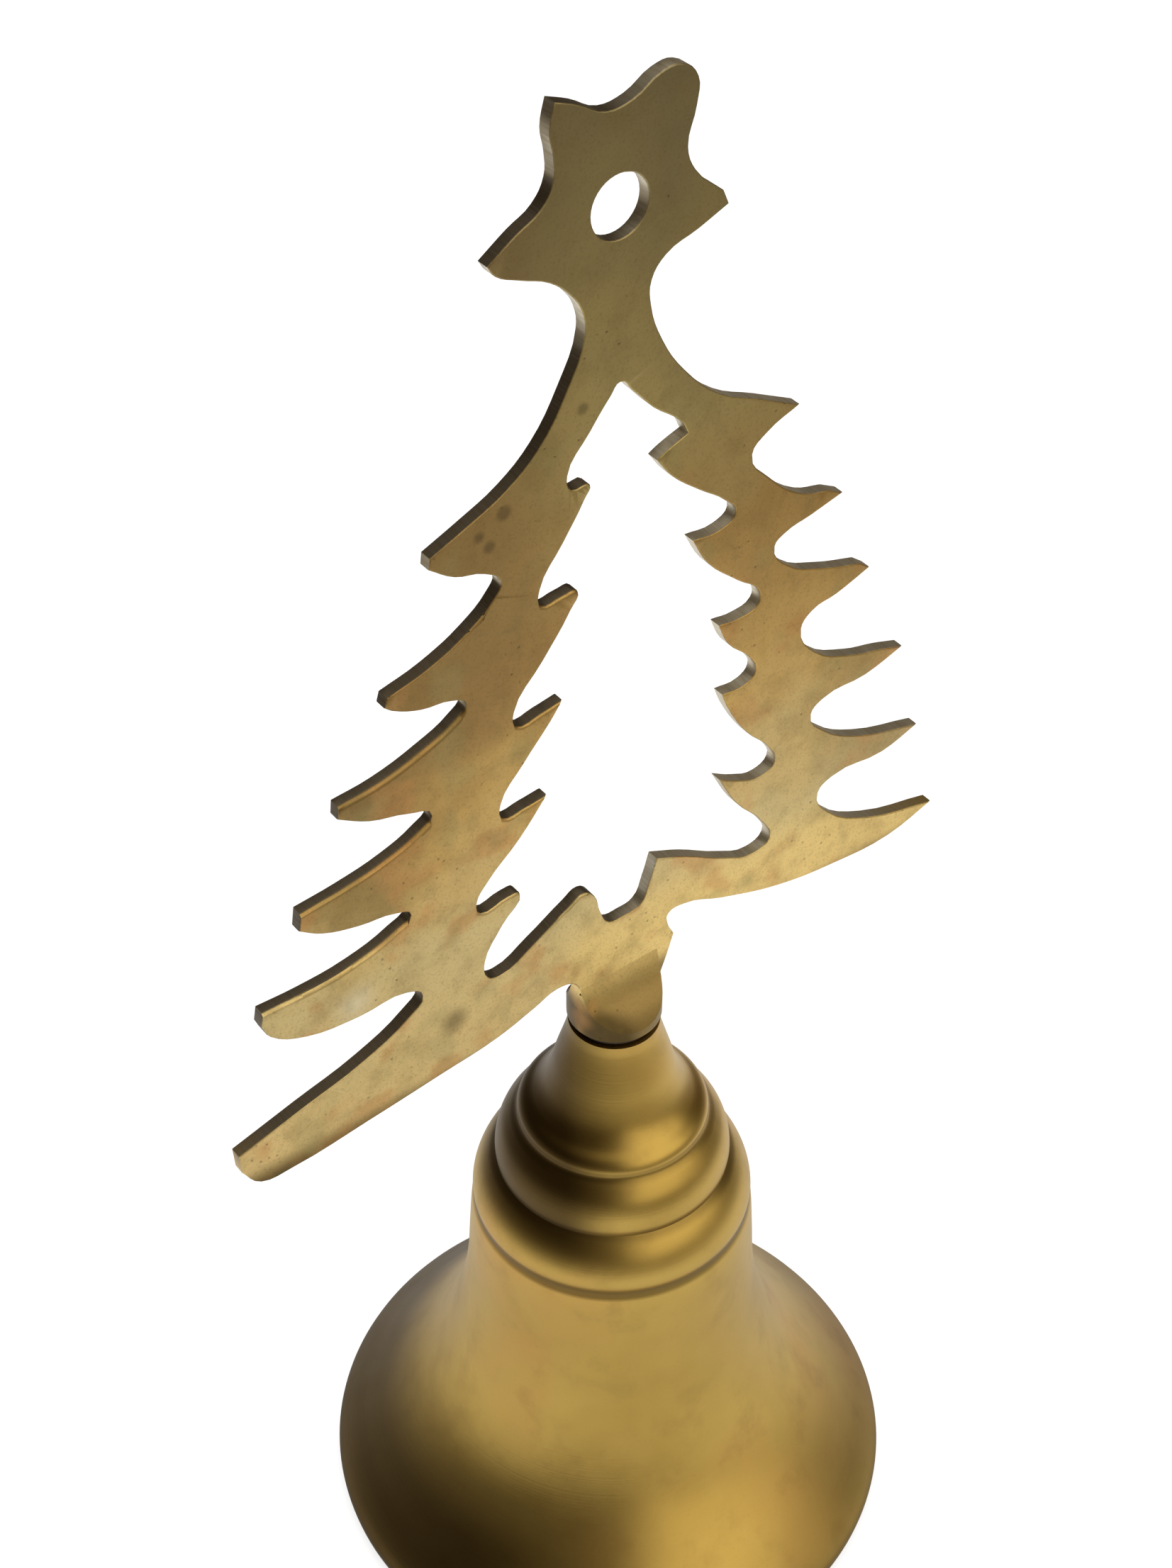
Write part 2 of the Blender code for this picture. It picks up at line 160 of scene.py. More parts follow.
class Finish(Nodes):
    """A metal or other surface, its pattern laid out in millimetres from the mouth's middle."""

    def __init__(self, name, metallic=1.0):
        self.material = bpy.data.materials.new(name)
        self.material.use_nodes = True
        super().__init__(self.material.node_tree)
        self.shader = self.tree.nodes["Principled BSDF"]
        self.shader.inputs["Metallic"].default_value = metallic
        self.place = self.stretched((1, 1, 1))
        self.normal = self.node("ShaderNodeTexCoord", output="Normal")

    def stretched(self, scale):
        coordinates = self.node("ShaderNodeTexCoord", output="Object")
        return self.node("ShaderNodeMapping", {}, {
            "Vector": coordinates, "Scale": tuple(s / MM for s in scale)})

    def from_axis(self):
        """Distance from the bell's axis."""
        x = self.axis(self.place, "X")
        y = self.axis(self.place, "Y")
        return self.place.maths("SQRT", x * x + y * y)

    def noise(self, scale, detail=3.0, roughness=0.55, place=None):
        """Cloudy values about 0.5; scale is in features per millimetre."""
        return self.node("ShaderNodeTexNoise", {}, {
            "Vector": place or self.place, "Scale": scale, "Detail": detail,
            "Roughness": roughness})

    def cells(self, scale):
        """Distance to the nearest scattered point, in cell widths."""
        return self.node("ShaderNodeTexVoronoi", {}, {"Vector": self.place, "Scale": scale})

    def ramp(self, value, stops):
        return self.node("ShaderNodeValToRGB", {"stops": stops}, {0: value})

    def spot(self, x, z, radius, softness):
        """1 inside a round patch on the tree's grid, 0 outside; its size is in millimetres."""
        centre = (x * GRID / MM, 0, (JOINT_Z + z * GRID) / MM)
        gap = self.node("ShaderNodeVectorMath", {"operation": "DISTANCE"}, {
            0: self.stretched((1, 0, 1)), 1: centre}, "Value")
        return gap.step(radius + softness, radius - softness)

    def bump(self, height, distance):
        """Height from 0 to 1 becomes a relief of that many metres."""
        self.feed("Normal", self.node("ShaderNodeBump", {}, {
            "Height": height, "Distance": distance}))

    def feed(self, name, value):
        socket = self.shader.inputs[name]
        if isinstance(value, Wire):
            self.tree.links.new(value.socket, socket)
        elif isinstance(value, tuple):
            socket.default_value = (*value, 1.0)
        else:
            socket.default_value = value


# ---- the finishes -----------------------------------------------------------------------
STAINS = (                         # place on the tree's grid, then radius and softness
    (-9.2, 48.4, 0.62, 0.30), (-11.0, 47.4, 0.42, 0.28), (-10.3, 46.4, 0.50, 0.28),
    (-3.4, 53.4, 0.45, 0.28), (-14.2, 8.2, 1.10, 0.90))
# A painted highlight: a pale spot on a left branch, on the tree's grid, then radius and
# softness.
HIGHLIGHT_SPOT = (-21.8, 14.6, 0.7, 2.2)
BEAD_GROOVES = ((49.9, 0.35), (44.4, 0.45), (38.8, 0.75))    # height, and how dark it is


def tree_tone(finish, height, across):
    """The tree's colour by place, from its bright foot up to its dark star, with painted shade
    on its upper left, its right side and low on its foot.
    """
    drift = height + (finish.noise(0.07, 3.0) - 0.5) * 34.0
    tone = finish.ramp((drift - 60.0) / 96.0, [
        (0.00, (0.88, 0.64, 0.27)),
        (0.20, (0.76, 0.60, 0.28)),
        (0.36, (0.74, 0.49, 0.16)),
        (0.52, (0.57, 0.36, 0.12)),
        (0.70, (0.62, 0.49, 0.20)),
        (1.00, (0.34, 0.29, 0.17))])
    shaded_left = across.step(-2.0, -14.0) * drift.step(90.0, 103.0)
    # painted shade: the right side darker below the star
    shaded_right = across.step(19.0, 26.0) * drift.step(104.0, 92.0)
    branch_end = across.step(-19.0, -23.0) * drift.step(86.0, 91.0)
    handled = height.step(78.0, 71.0) * across.step(-9.0, -3.0)
    post = height.step(67.6, 65.6)
    # painted shade: a dark crescent low on the foot's left, where it meets the bell
    joint_shade = height.step(66.4, 63.6) + across.step(0.5, -4.0)
    joint_shade = joint_shade.step(0.75, 1.5) * height.step(68.0, 66.0)
    return finish.layered(
        tone,
        (shaded_left * 0.52, (0.31, 0.185, 0.070)),
        (shaded_right * 0.5, (0.40, 0.28, 0.11)),
        (branch_end * 0.55, (0.26, 0.185, 0.075)),
        (handled * 0.7, (1.0, 0.74, 0.27)),
        (post, (0.36, 0.25, 0.09)),
        (joint_shade * 0.8, (0.06, 0.04, 0.015)))


def sawn_tone(finish, strokes, across):
    """The sawn edges: pale file strokes, with painted shade on upward edges and branch tips."""
    tone = finish.ramp(strokes, [
        (0.30, (0.78, 0.70, 0.54)),
        (0.55, (0.92, 0.86, 0.72)),
        (0.74, (0.98, 0.94, 0.84))])
    upward = finish.axis(finish.normal, "Z").step(0.05, 0.35)
    # painted shade: upward walls darkened, much less on the right
    upward_shade = upward * (1 - across.step(-3.0, 5.0) * 0.9)
    # painted shade: the walls at the left branch tips darkened too
    tip = finish.axis(finish.normal, "X").step(-0.3, -0.6) * across.step(-17.0, -19.0)
    return finish.mix(upward_shade.larger(tip) * 0.85, tone, (0.12, 0.09, 0.06))


def sheet_brass():
    """The tree: sheet brass sawn and filed to its outline, then tumbled and aged."""
    finish = Finish("aged_sheet_brass")
    height = finish.axis(finish.place, "Z")
    across = finish.axis(finish.place, "X")
    mottle = finish.noise(0.34, 4.0, 0.6)
    grain = finish.noise(4.5, 3.0, 0.7)
    pinkish = finish.noise(0.16, 2.0).step(0.54, 0.66) * height.step(118.0, 96.0)
    greenish = finish.noise(0.21, 2.0, 0.5, finish.stretched((1, 1, 0.7))).step(0.56, 0.70)
    pits = finish.cells(0.95).step(0.16, 0.06) * finish.noise(0.12, 1.0).step(0.50, 0.62)
    stain = reduce(Wire.larger, [finish.spot(*spot) for spot in STAINS])
    face_tone = finish.layered(
        tree_tone(finish, height, across),
        (pinkish * 0.50, (0.68, 0.35, 0.12)),
        (greenish * 0.35, (0.42, 0.36, 0.15)),
        (mottle.step(0.42, 0.74) * 0.28, (0.30, 0.21, 0.08)),
        (grain.step(0.48, 0.75) * 0.30, (0.20, 0.13, 0.05)),
        (pits * 0.5, (0.10, 0.07, 0.03)),
        (stain * 0.5, (0.13, 0.10, 0.05)),
        # painted highlight
        (finish.spot(*HIGHLIGHT_SPOT) * 0.7, (0.98, 0.90, 0.68)))

    sawn = abs(finish.axis(finish.normal, "Y")).step(0.62, 0.22) * height.step(67.0, 71.0)
    strokes = finish.noise(1.0, 2.0, 0.6, finish.stretched((3.4, 0.25, 3.4)))
    finish.feed("Base Color", finish.mix(sawn, face_tone, sawn_tone(finish, strokes, across)))
    finish.feed("Roughness", 0.34 + mottle * 0.14 + grain * 0.08 + stain * 0.1 + sawn * 0.06)
    relief = grain * 0.25 + mottle * 0.5 - pits * 0.5 - stain * 0.1
    finish.bump(relief * (1 - sawn) + strokes * sawn * 1.6, 0.022 * MM)
    return finish.material


def bell_painted_shade(finish, height, clouds):
    """Painted shade on the bell: its left side darkened, low and high, and its right rim
    darker.
    """
    side = finish.along(finish.place, SIDE) + (clouds - 0.5) * 5.0
    radius = finish.from_axis()
    low = radius.step(15.0, 23.5) * side.step(3.0, -15.0)
    high = height.step(40.0, 45.0) * side.step(1.5, -5.0)
    right_rim = radius.step(18.0, 27.0) * side.step(10.0, 20.0) * 0.5
    return low.larger(high).larger(right_rim)


def turned_brass():
    """The bell's outside: cast brass, turned in a lathe and left with a soft lustre."""
    finish = Finish("turned_bell_brass")
    height = finish.axis(finish.place, "Z")
    clouds = finish.noise(0.055, 3.0)
    mottle = finish.noise(0.20, 4.0, 0.6)
    grain = finish.noise(3.5, 2.0, 0.6)
    painted_shade = bell_painted_shade(finish, height, clouds)
    cast = finish.ramp(clouds, [
        (0.30, (0.52, 0.345, 0.085)),
        (0.52, (0.62, 0.42, 0.110)),
        (0.70, (0.64, 0.39, 0.110))])
    # darker along the grooves between the beads
    groove_dark = sum(abs(height - groove).step(0.9, 0.1) * depth for groove, depth in BEAD_GROOVES)
    colour = finish.layered(
        cast,
        (mottle.step(0.48, 0.76) * 0.35, (0.38, 0.24, 0.07)),
        (grain.step(0.55, 0.85) * 0.15, (0.27, 0.17, 0.07)),
        # painted shade on the bell's left side and right rim
        (painted_shade * 0.90, (0.085, 0.052, 0.018)),
        (groove_dark, (0.10, 0.062, 0.022)))
    finish.feed("Base Color", colour)
    finish.feed("Roughness", 0.29 + mottle * 0.10 + clouds * 0.06 + painted_shade * 0.05)
    lines = finish.node("ShaderNodeTexNoise", {"noise_dimensions": "1D"}, {
        "W": height * 5.0, "Scale": 1.0, "Detail": 3.0, "Roughness": 0.7})
    finish.bump(lines * 0.35 + mottle * 0.45 + grain * 0.12, 0.014 * MM)
    return finish.material


def raw_brass():
    """The bell's inside: rough turned, never polished, brown with age."""
    finish = Finish("raw_inner_brass")
    mottle = finish.noise(0.35, 4.0, 0.65)
    colour = finish.ramp(mottle, [
        (0.30, (0.17, 0.115, 0.05)),
        (0.60, (0.34, 0.235, 0.10)),
        (0.80, (0.26, 0.20, 0.10))])
    finish.feed("Base Color", colour)
    finish.feed("Roughness", 0.46 + mottle * 0.2)
    ridges = finish.node("ShaderNodeTexWave", {"wave_type": "BANDS", "bands_direction": "Z"}, {
        "Vector": finish.place, "Scale": 0.42, "Distortion": 0.6, "Detail": 1.0})
    finish.bump(ridges * 0.6 + mottle * 0.5, 0.05 * MM)
    return finish.material


def fitting_brass():
    """Ball, nuts and crown washer: bright bar brass with fine machine marks."""
    finish = Finish("fitting_brass")
    mottle = finish.noise(0.6, 3.0)
    marks = finish.noise(1.0, 2.0, 0.6, finish.stretched((0.5, 0.5, 14.0)))
    colour = finish.mix(mottle.step(0.45, 0.75) * 0.5, (0.70, 0.50, 0.20), (0.42, 0.28, 0.11))
    finish.feed("Base Color", colour)
    finish.feed("Roughness", 0.22 + mottle * 0.12 + marks * 0.08)
    finish.bump(marks * 0.5 + mottle * 0.3, 0.012 * MM)
    return finish.material


def drawn_steel():
    """Eyebolt, link, rod and spring washer: plated steel wire, dulled."""
    finish = Finish("drawn_steel")
    mottle = finish.noise(0.8, 3.0)
    specks = finish.noise(5.0, 2.0, 0.7)
    colour = finish.mix(mottle.step(0.50, 0.78) * 0.6, (0.50, 0.49, 0.46), (0.28, 0.23, 0.17))
    finish.feed("Base Color", colour)
    finish.feed("Roughness", 0.28 + mottle * 0.16 + specks * 0.06)
    finish.bump(specks * 0.5 + mottle * 0.4, 0.015 * MM)
    return finish.material


def seat_leather():
    """The washer between the handle and the bell."""
    finish = Finish("seat_leather", metallic=0.0)
    pores = finish.cells(3.2)
    creases = finish.noise(1.6, 3.0, 0.6)
    colour = finish.mix(creases, (0.020, 0.013, 0.008), (0.060, 0.036, 0.020))
    finish.feed("Base Color", colour)
    finish.feed("Roughness", 0.62 + creases * 0.2)
    finish.bump(pores * 0.6 + creases * 0.5, 0.05 * MM)
    return finish.material


# ---- modelling helpers ------------------------------------------------------------------
def pick(piece):
    bpy.ops.object.select_all(action="DESELECT")
    piece.select_set(True)
    bpy.context.view_layer.objects.active = piece


def edit(piece):
    pick(piece)
    bpy.ops.object.mode_set(mode="EDIT")
    bpy.ops.mesh.select_all(action="SELECT")


def leave_edit():
    bpy.ops.object.mode_set(mode="OBJECT")


def apply_all(piece):
    pick(piece)
    for modifier in list(piece.modifiers):
        bpy.ops.object.modifier_apply(modifier=modifier.name)


def settle(piece):
    """Puts the piece's place into its mesh, so that its object sits at the origin."""
    pick(piece)
    bpy.ops.object.transform_apply(location=True, rotation=True, scale=True)


def round_off(piece, angle):
    pick(piece)
    bpy.ops.object.shade_smooth_by_angle(angle=math.radians(angle))


def new_piece(name, mesh):
    piece = bpy.data.objects.new(name, mesh)
    bpy.context.scene.collection.objects.link(piece)
    return piece


def give(piece, material, body, slot, *nodes):
    """Its finish, the CAD body it rides on, its slot (not used) and the CAD nodes it stands
    for.
    """
    if material is not None:
        piece.data.materials.clear()
        piece.data.materials.append(material)
    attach(piece, body)
    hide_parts(*nodes)


def copy_of_node(node, name):
    """A free copy of a CAD node, its loose triangles merged and its flats made whole."""
    piece = new_piece(name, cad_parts[node].data.copy())
    edit(piece)
    bpy.ops.mesh.customdata_custom_splitnormals_clear()
    bpy.ops.mesh.remove_doubles(threshold=WELD)
    bpy.ops.mesh.dissolve_limited(angle_limit=math.radians(0.6))
    leave_edit()
    piece.data.materials.clear()
    return piece


def section_of_node(node):
    """The closed half-section of a turned CAD node as (radius, height), from its top out."""
    bm = bmesh.new()
    bm.from_mesh(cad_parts[node].data)
    bmesh.ops.remove_doubles(bm, verts=bm.verts, dist=WELD)
    cut = {v for v in bm.verts if abs(v.co.y) < WELD and v.co.x > 0}
    top = max(v.co.z for v in cut)
    start = max((v for v in cut if top - v.co.z < WELD), key=lambda v: v.co.x)
    walk, last = [start], None
    while True:
        ahead = [e.other_vert(walk[-1]) for e in walk[-1].link_edges]
        ahead = [v for v in ahead if v in cut and v is not last]
        ahead = [v for v in ahead if len(walk) > 1 or v.co.z < top - WELD]
        if not ahead or ahead[0] is start:
            break
        last = walk[-1]
        walk.append(ahead[0])
    section = [Vector((v.co.x, v.co.z)) for v in walk]
    bm.free()
    return section


def smooth_section(points, steps, corner=38):
    """A closed section with curves through its points, kept sharp at its corners."""
    count = len(points)
    sides = [points[(i + 1) % count] - points[i] for i in range(count)]
    sharp = [abs(sides[i - 1].angle_signed(sides[i])) > math.radians(corner)
             for i in range(count)]
    fine = []
    for i, side in enumerate(sides):
        start, end = points[i], points[(i + 1) % count]
        leave = side if sharp[i] else (end - points[i - 1]) / 2
        arrive = side if sharp[(i + 1) % count] else (points[(i + 2) % count] - start) / 2
        leave = leave.normalized() * side.length
        arrive = arrive.normalized() * side.length
        for step in range(steps):
            t = step / steps
            fine.append(
                start * (2 * t**3 - 3 * t**2 + 1) + leave * (t**3 - 2 * t**2 + t)
                + end * (3 * t**2 - 2 * t**3) + arrive * (t**3 - t**2))
    return fine


def spin_section(name, section, steps):
    """A turned piece: the closed section is spun once round the bell's axis."""
    mesh = bpy.data.meshes.new(name)
    count = len(section)
    mesh.from_pydata([(p[0], 0.0, p[1]) for p in section],
                     [(i, (i + 1) % count) for i in range(count)], [])
    piece = new_piece(name, mesh)
    edit(piece)
    bpy.ops.mesh.spin(steps=steps, angle=2 * math.pi, center=(0, 0, 0), axis=(0, 0, 1))
    bpy.ops.mesh.select_all(action="SELECT")
    bpy.ops.mesh.remove_doubles(threshold=WELD)
    bpy.ops.mesh.normals_make_consistent(inside=False)
    leave_edit()
    return piece


def soft_ring(name, node, bore, edge):
    """A turned washer with rounded edges, as large as its CAD node."""
    low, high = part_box(node)
    radius = high.x
    corners = [(radius, high.z, -1, -1), (radius, low.z, -1, 1), (bore, low.z, 1, 1),
               (bore, high.z, 1, -1)]
    section = []
    for number, (x, z, inward, up) in enumerate(corners):
        centre = Vector((x + inward * edge, z + up * edge))
        start = math.radians(90 - 90 * number)
        section += [centre + edge * Vector((math.cos(start - a), math.sin(start - a)))
                    for a in (math.radians(22.5 * k) for k in range(5))]
    return spin_section(name, section, SMALL_STEPS)


# ---- the pieces -------------------------------------------------------------------------
RIDGE = 0.52 * MM                  # the broad filed bevel along some upper edges
WORN_EDGE = 0.24                   # every other edge's bevel, as a share of the ridge
BOLT_BORE = 1.75 * MM
BOLT_RADIUS = 1.45 * MM
EYE_WIRE = 1.1 * MM
LINK_WIRE = 0.8 * MM
LOOP_WIRE = 0.9 * MM
ROD_RADIUS = 1.0 * MM
ROD_BORE = 1.3 * MM
WASHER_EDGE = 0.12 * MM
SPLIT = math.radians(14)           # the spring washer's gap
SPLIT_RISE = 0.22 * MM             # how far its ends spring apart
FLAT = 0.9995                      # a face this square to the plate is one of its flats
CDT_INSIDE = 1                     # output: triangles inside the outer outline, holes too
CDT_EPSILON = 1e-7
VOXEL = 0.13 * MM                  # of the skin over a ring and its rod


def edge_weight(cap, wall, middle):
    """How broad the file left an edge of the tree: 1 for a ridge, less for a worn edge."""
    x = middle.x / GRID
    z = (middle.z - JOINT_Z) / GRID
    front = cap.normal.y < 0
    upward = wall.normal.z > 0.35
    on_branch = x < -12.5 and 16.5 < z < 35 and wall.normal.x < 0.2
    on_tooth = -12.5 < x < -3 and 12 < z < 42
    if front and upward and on_branch:
        return 1.0
    if front and upward and on_tooth:
        return 0.6
    return WORN_EDGE


def weigh_plate_edges(piece):
    bm = bmesh.new()
    bm.from_mesh(piece.data)
    weight = bm.edges.layers.float.new("bevel_weight_edge")
    for edge in bm.edges:
        if len(edge.link_faces) != 2:
            continue
        wall, cap = sorted(edge.link_faces, key=lambda f: abs(f.normal.y))
        middle = (edge.verts[0].co + edge.verts[1].co) / 2
        on_rim = abs(abs(middle.y) - HALF_PLATE) < WELD
        if on_rim and abs(cap.normal.y) > 0.9 and abs(wall.normal.y) < 0.2:
            edge[weight] = edge_weight(cap, wall, middle)
    bm.to_mesh(piece.data)
    bm.free()


def crossings(point, outline):
    """How many of the outline's sides lie level with the point and to its right."""
    return sum(
        (z > point.y) != (other_z > point.y)
        and point.x < x + (other_x - x) * (point.y - z) / (other_z - z)
        for x, z, other_x, other_z in outline)


def face_the_plate_anew(piece):
    """New flat faces inside the bevelled rims, front and back."""
    mesh = bmesh.new()
    mesh.from_mesh(piece.data)
    for level in (-HALF_PLATE, HALF_PLATE):
        flat = [face for face in mesh.faces if abs(face.normal.y) > FLAT
                and abs(face.calc_center_median().y - level) < WELD]
        bmesh.ops.delete(mesh, geom=flat, context="FACES")
        rim = [edge for edge in mesh.edges if edge.is_boundary
               and all(abs(corner.co.y - level) < WELD for corner in edge.verts)]
        corners = list({corner for edge in rim for corner in edge.verts})
        number = {corner: place for place, corner in enumerate(corners)}
        points, _, triangles = delaunay_2d_cdt(
            [Vector((corner.co.x, corner.co.z)) for corner in corners],
            [tuple(number[corner] for corner in edge.verts) for edge in rim],
            [], CDT_INSIDE, CDT_EPSILON)[:3]
        outline = [(corner.co.x, corner.co.z, other.co.x, other.co.z)
                   for corner, other in (edge.verts for edge in rim)]
        placed = [mesh.verts.new((point.x, level, point.y)) for point in points]
        for triangle in triangles:
            middle = sum((points[place] for place in triangle), Vector((0, 0))) / 3
            if crossings(middle, outline) % 2:
                mesh.faces.new([placed[place] for place in triangle])
    bmesh.ops.remove_doubles(mesh, verts=mesh.verts, dist=WELD)
    bmesh.ops.recalc_face_normals(mesh, faces=mesh.faces)
    mesh.to_mesh(piece.data)
    mesh.free()


def make_tree():
    piece = copy_of_node("tree_handle", "filed_tree_handle")
    weigh_plate_edges(piece)
    round_off(piece, 180)
    bevel = piece.modifiers.new("worn_edges", "BEVEL")
    bevel.limit_method = "WEIGHT"
    bevel.width = RIDGE
    bevel.segments = 3
    bevel.profile = 0.5
    bevel.use_clamp_overlap = False
    apply_all(piece)
    face_the_plate_anew(piece)
    round_off(piece, 40)
    even = piece.modifiers.new("even_faces", "WEIGHTED_NORMAL")
    even.weight = 100
    even.keep_sharp = True
    apply_all(piece)
    give(piece, sheet_brass(), "bell", "handle_brass", "tree_handle")


def make_bell():
    section = smooth_section(section_of_node("bell_body"), 4)
    piece = spin_section("turned_bell", section, BELL_STEPS)
    piece.data.materials.append(turned_brass())
    piece.data.materials.append(raw_brass())
    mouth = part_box("bell_body")[0].z
    for face in piece.data.polygons:
        outward = Vector((face.center.x, face.center.y, 0)).dot(face.normal)
        rim = face.center.z < mouth + 0.2 * MM
        face.material_index = 1 if outward < 0 and not rim else 0
    round_off(piece, 45)
    give(piece, None, "bell", "bell_brass", "bell_body")


def make_washers(brass, steel):
    seat = soft_ring("leather_seat_washer", "seat_washer", BOLT_BORE, WASHER_EDGE)
    round_off(seat, 60)
    give(seat, seat_leather(), "bell", "seat_leather", "seat_washer")
    crown = soft_ring("crown_washer_brass", "crown_washer", BOLT_BORE, WASHER_EDGE)
    round_off(crown, 60)
    give(crown, brass, "bell", "bell_brass", "crown_washer")

    low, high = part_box("spring_washer")
    corners = [(high.x, high.z), (high.x, low.z), (BOLT_BORE, low.z), (BOLT_BORE, high.z)]
    mesh = bpy.data.meshes.new("split_spring_washer")
    mesh.from_pydata([(x, 0, z) for x, z in corners], [(0, 1), (1, 2), (2, 3), (3, 0)], [])
    split = new_piece("split_spring_washer", mesh)
    turn = split.modifiers.new("turn", "SCREW")
    turn.angle = 2 * math.pi - SPLIT
    turn.screw_offset = SPLIT_RISE
    turn.steps = turn.render_steps = SMALL_STEPS
    apply_all(split)
    edit(split)
    bpy.ops.mesh.fill_holes(sides=0)
    bpy.ops.mesh.normals_make_consistent(inside=False)
    bpy.ops.transform.rotate(value=-SPLIT / 2, orient_axis="Z", center_override=(0, 0, 0))
    leave_edit()
    bevel = split.modifiers.new("edges", "BEVEL")
    bevel.width = 0.07 * MM
    bevel.segments = 2
    apply_all(split)
    round_off(split, 40)
    give(split, steel, "bell", "hardware_steel", "spring_washer")


def make_hex_nut(name, node, bore, body, brass):
    """A six-sided bar, trimmed by a turned ring that gives it its chamfers and bore."""
    low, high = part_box(node)
    radius = high.x
    middle = (low.z + high.z) / 2
    bpy.ops.mesh.primitive_cylinder_add(
        vertices=6, radius=radius, depth=high.z - low.z, location=(0, 0, middle),
        rotation=(0, 0, math.radians(30)))
    nut = bpy.context.object
    nut.name = name
    settle(nut)
    flat = 0.87 * radius
    outside = 1.02 * radius
    slope = 0.25 * (high.z - low.z) / 2
    sink = 0.12 * radius
    section = [Vector(p) for p in (
        (flat, high.z), (outside, high.z - slope), (outside, low.z + slope),
        (flat, low.z), (bore + sink, low.z), (bore, low.z + sink), (bore, high.z - sink),
        (bore + sink, high.z))]
    ring = spin_section(name + "_trim", section, SMALL_STEPS)
    trim = nut.modifiers.new("trim", "BOOLEAN")
    trim.operation = "INTERSECT"
    trim.solver = "EXACT"
    trim.object = ring
    bevel = nut.modifiers.new("edges", "BEVEL")
    bevel.width = 0.05 * MM
    bevel.segments = 2
    apply_all(nut)
    bpy.data.objects.remove(ring, do_unlink=True)
    round_off(nut, 35)
    give(nut, brass, body, "bell_brass", node)


def add_ring(name, ring_radius, wire, centre_z, turn):
    bpy.ops.mesh.primitive_torus_add(
        major_segments=96, minor_segments=24, major_radius=ring_radius, minor_radius=wire,
        location=(0, 0, centre_z), rotation=turn)
    ring = bpy.context.object
    ring.name = name
    settle(ring)
    return ring


def make_ring_on_rod(name, node, body, wire, rod, ring_on_top, steel):
    """A ring bent in wire and forged to its rod: an eyebolt, or the clapper's rod."""
    low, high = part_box(node)
    ring_radius = high.x - wire
    ring_z = high.z - high.x if ring_on_top else low.z + high.x
    ring = add_ring(name, ring_radius, wire, ring_z, (math.pi / 2, 0, 0))
    far_end = low.z if ring_on_top else high.z
    near_end = ring_z - ring_radius if ring_on_top else ring_z + ring_radius
    bpy.ops.mesh.primitive_cylinder_add(
        vertices=48, radius=rod, depth=abs(near_end - far_end),
        location=(0, 0, (near_end + far_end) / 2))
    stem = bpy.context.object
    edit(stem)
    bpy.ops.mesh.bevel(offset=0.3 * MM, segments=3, affect="EDGES")
    leave_edit()
    pick(ring)
    stem.select_set(True)
    bpy.ops.object.join()
    skin = ring.modifiers.new("skin", "REMESH")
    skin.mode = "VOXEL"
    skin.voxel_size = VOXEL
    soften = ring.modifiers.new("soften", "SMOOTH")
    soften.factor = 0.5
    soften.iterations = 5
    apply_all(ring)
    round_off(ring, 60)
    give(ring, steel, body, "hardware_steel", node)


def make_link(steel):
    """The link between eye and clapper, closed by a weld on one side."""
    low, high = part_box("clapper_link")
    middle = (low.z + high.z) / 2
    link = add_ring("welded_link", high.y - LINK_WIRE, LINK_WIRE, middle, (0, math.pi / 2, 0))
    edit(link)
    bpy.ops.mesh.select_all(action="DESELECT")
    leave_edit()
    weld_side = high.y - 2.4 * LINK_WIRE
    for vertex in link.data.vertices:
        vertex.select = vertex.co.y > weld_side and abs(vertex.co.z - middle) < 0.45 * MM
    for edge in link.data.edges:
        edge.select = all(link.data.vertices[i].select for i in edge.vertices)
    for face in link.data.polygons:
        face.select = all(link.data.vertices[i].select for i in face.vertices)
    bpy.ops.object.mode_set(mode="EDIT")
    bpy.ops.transform.shrink_fatten(value=0.09 * MM)
    bpy.ops.mesh.select_all(action="SELECT")
    bpy.ops.mesh.vertices_smooth(factor=0.4, repeat=2)
    leave_edit()
    round_off(link, 60)
    give(link, steel, "link", "hardware_steel", "clapper_link")


def make_ball(brass):
    """The clapper's ball: turned, drilled through, with a groove round its middle."""
    low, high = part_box("clapper_ball")
    radius = high.x
    centre = (low.z + high.z) / 2
    start = math.asin(ROD_BORE * 1.15 / radius)
    count = 96
    section = []
    for step in range(count + 1):
        angle = start + (math.pi - 2 * start) * step / count
        groove = 0.10 * MM * math.exp(-((angle - math.pi / 2) / 0.035) ** 2)
        reach = radius - groove
        section.append(Vector((reach * math.sin(angle), centre + reach * math.cos(angle))))
    half = radius * math.cos(start) - 0.25 * MM
    section += [Vector((ROD_BORE, centre - half)), Vector((ROD_BORE, centre + half))]
    ball = spin_section("turned_clapper_ball", section, SMALL_STEPS)
    round_off(ball, 50)
    give(ball, brass, "clapper", "bell_brass", "clapper_ball")


# ---- floor, lights and camera -----------------------------------------------------------
FLOOR_SIZE = 8.0
FLOOR_DROP = 0.02 * MM             # keeps the floor clear of the rim that stands on it
FLOOR_GLOW = 0.8                   # how much of the floor is its own even light
PAPER_END = (175, 125)             # mirrored sheet: fades out between these radii, and
PAPER_FRONT = (-165, -105)         # towards the front between these places,
BELL_SHADOW = (24, 38)              # and has a painted shadow close to the bell
